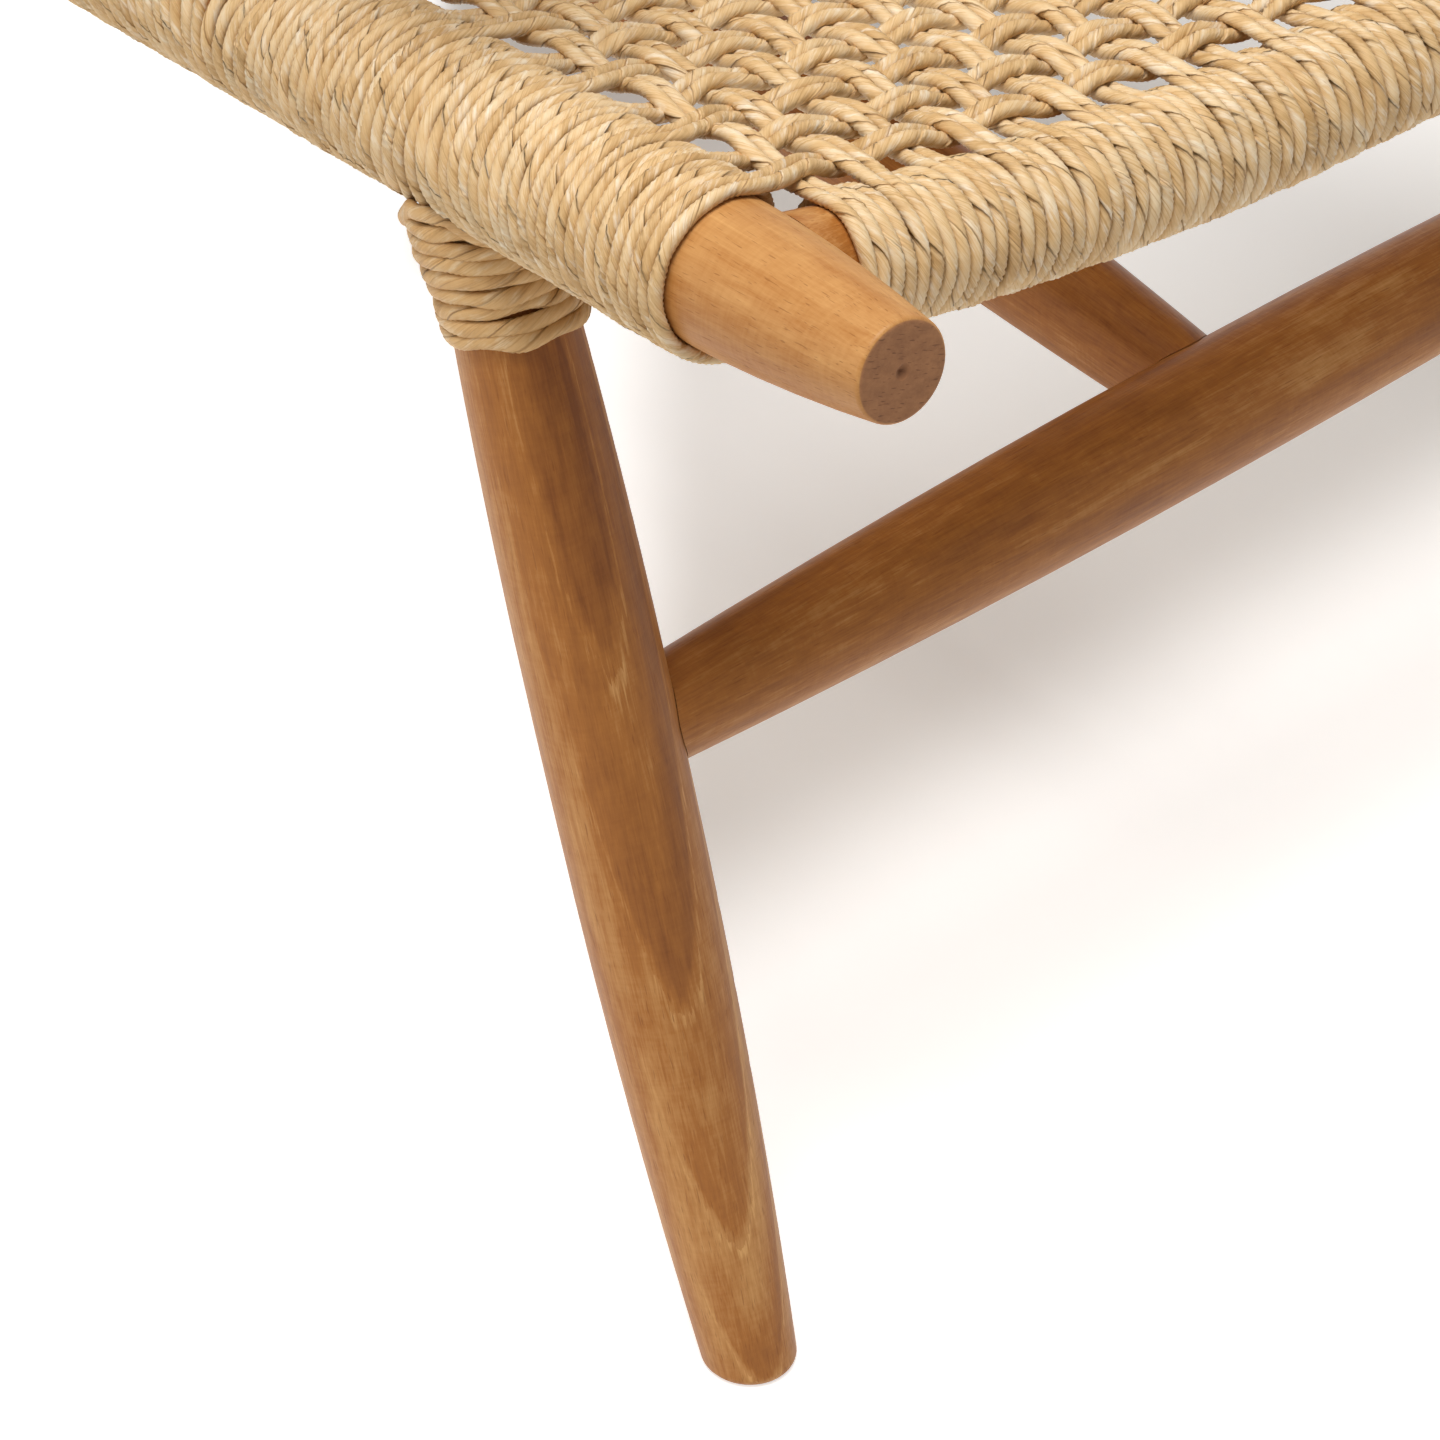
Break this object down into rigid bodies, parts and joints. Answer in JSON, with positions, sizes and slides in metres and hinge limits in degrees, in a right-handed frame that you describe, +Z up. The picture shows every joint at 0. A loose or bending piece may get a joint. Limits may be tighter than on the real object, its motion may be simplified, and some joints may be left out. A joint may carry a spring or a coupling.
{
  "type": "garden armchair",
  "caption": "Garden armchair of turned round teak members with a scooped, open-woven cord seat, cord-wrapped rails, splayed legs bound with cord and a reclined woven back.",
  "frame": {"origin": "on the floor, under the middle of the chair's bounding box", "axes": "+Z up, the front of the seat faces -Y, +X to the right as seen from the front"},
  "size_m": [0.6078, 0.7401, 0.8252],
  "materials": {
    "teak": "oiled, satin",
    "cord": "twisted paper cord, matt"
  },
  "bodies": {
    "root": {"side_rail_left": "teak", "side_rail_right": "teak", "front_rail": "teak", "rear_rail": "teak", "front_leg_left": "teak", "front_leg_right": "teak", "rear_leg_left": "teak", "rear_leg_right": "teak", "front_stretcher": "teak", "rear_stretcher": "teak", "middle_stretcher": "teak", "back_post_left": "teak", "back_post_right": "teak", "back_lower_rail": "teak", "back_top_rail": "teak", "arm_left": "teak", "arm_right": "teak", "arm_post_left": "teak", "arm_post_right": "teak", "side_rail_wrap_left": "cord", "side_rail_wrap_right": "cord", "front_rail_wrap": "cord", "rear_rail_wrap": "cord", "back_lower_rail_wrap": "cord", "back_top_rail_wrap": "cord", "seat_weave": "cord", "back_weave": "cord", "leg_bindings": "cord"}
  },
  "joints": []
}
